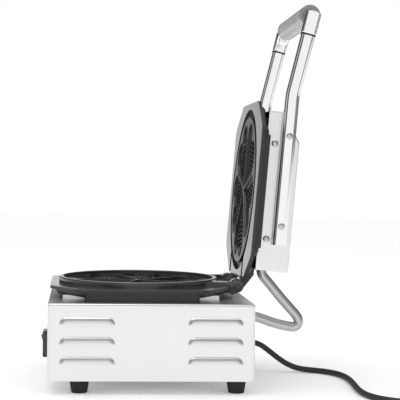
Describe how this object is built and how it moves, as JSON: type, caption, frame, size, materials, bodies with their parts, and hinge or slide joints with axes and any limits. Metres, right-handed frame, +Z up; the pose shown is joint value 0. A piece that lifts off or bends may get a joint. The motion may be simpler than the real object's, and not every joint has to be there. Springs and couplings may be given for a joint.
{
  "type": "heart waffle maker",
  "caption": "Countertop waffle maker with hinged cast plates for a ring of heart-shaped waffles, tubular lid handle, louvred steel base, rubber feet and mains cord.",
  "frame": {"origin": "on the worktop, under the centre of the machine's outline with the lid open and without its cord", "axes": "+Z up; -Y towards the user, the side of the switch; +Y the hinge and cord side; X along the hinge axis"},
  "size_m": [0.3346, 0.5421, 0.4651],
  "materials": {
    "casing_steel": "brushed stainless sheet",
    "heater_sheet": "dull stainless sheet",
    "heater_dark": "heat-darkened steel sheet",
    "pin_dark": "blackened steel",
    "cast_plate": "cast, black non-stick coating",
    "tube_steel": "polished stainless tube",
    "fastener_steel": "plated steel",
    "element_steel": "oxidised element sheath",
    "foot_rubber": "moulded black rubber",
    "switch_black": "moulded black plastic",
    "lamp_clear": "tinted lamp lens",
    "inner_plastic": "heat-resistant moulding",
    "conduit_steel": "smooth metal conduit",
    "grip_black": "black heat-resistant plastic",
    "cord_black": "black rubber sheath",
    "pin_brass": "plated brass"
  },
  "bodies": {
    "base": {"base_shell": "casing_steel", "front_panel": "casing_steel", "rear_panel": "casing_steel", "bottom_plate": "heater_sheet", "rubber_feet": "foot_rubber", "foot_screws": "fastener_steel", "foot_nuts": "fastener_steel", "bottom_screws": "fastener_steel", "lower_plate": "cast_plate", "lower_heater_cover": "heater_dark", "lower_heating_element": "element_steel", "plate_studs": "fastener_steel", "stud_nuts": "fastener_steel", "plate_rails": "heater_sheet", "hinge_pins": "pin_dark", "switch_housing": "switch_black", "indicator_lamps": "switch_black", "lamp_lenses": "lamp_clear", "thermostat": "inner_plastic", "terminal_block": "inner_plastic", "base_conduit_gland": "fastener_steel", "flexible_conduit": "conduit_steel", "cord_gland": "cord_black", "power_cord": "cord_black", "cord_coil": "cord_black", "plug_lead": "cord_black", "plug_body": "cord_black", "plug_pins": "pin_brass"},
    "rocker": {"rocker": "switch_black"},
    "lid": {"upper_plate": "cast_plate", "upper_heater_cover": "heater_dark", "upper_heating_element": "element_steel", "lid_cover": "casing_steel", "lid_cover_screws": "fastener_steel", "lid_brackets": "heater_sheet", "lid_conduit_gland": "fastener_steel", "handle_frame": "tube_steel", "handle_bolts": "fastener_steel", "handle_nuts": "fastener_steel", "handle_grip": "grip_black", "grip_end_caps": "grip_black"}
  },
  "joints": [
    {"name": "lid_hinge", "type": "hinge", "parent": "base", "child": "lid", "pos_m": [0, 0.0716, 0.1205], "axis": [1, 0, 0], "range_deg": [0, 94.5], "deforming": ["flexible_conduit"]},
    {"name": "rocker_press", "type": "hinge", "parent": "base", "child": "rocker", "pos_m": [0.095, -0.1544, 0.0555], "axis": [-1, 0, 0], "range_deg": [0, 20]}
  ]
}
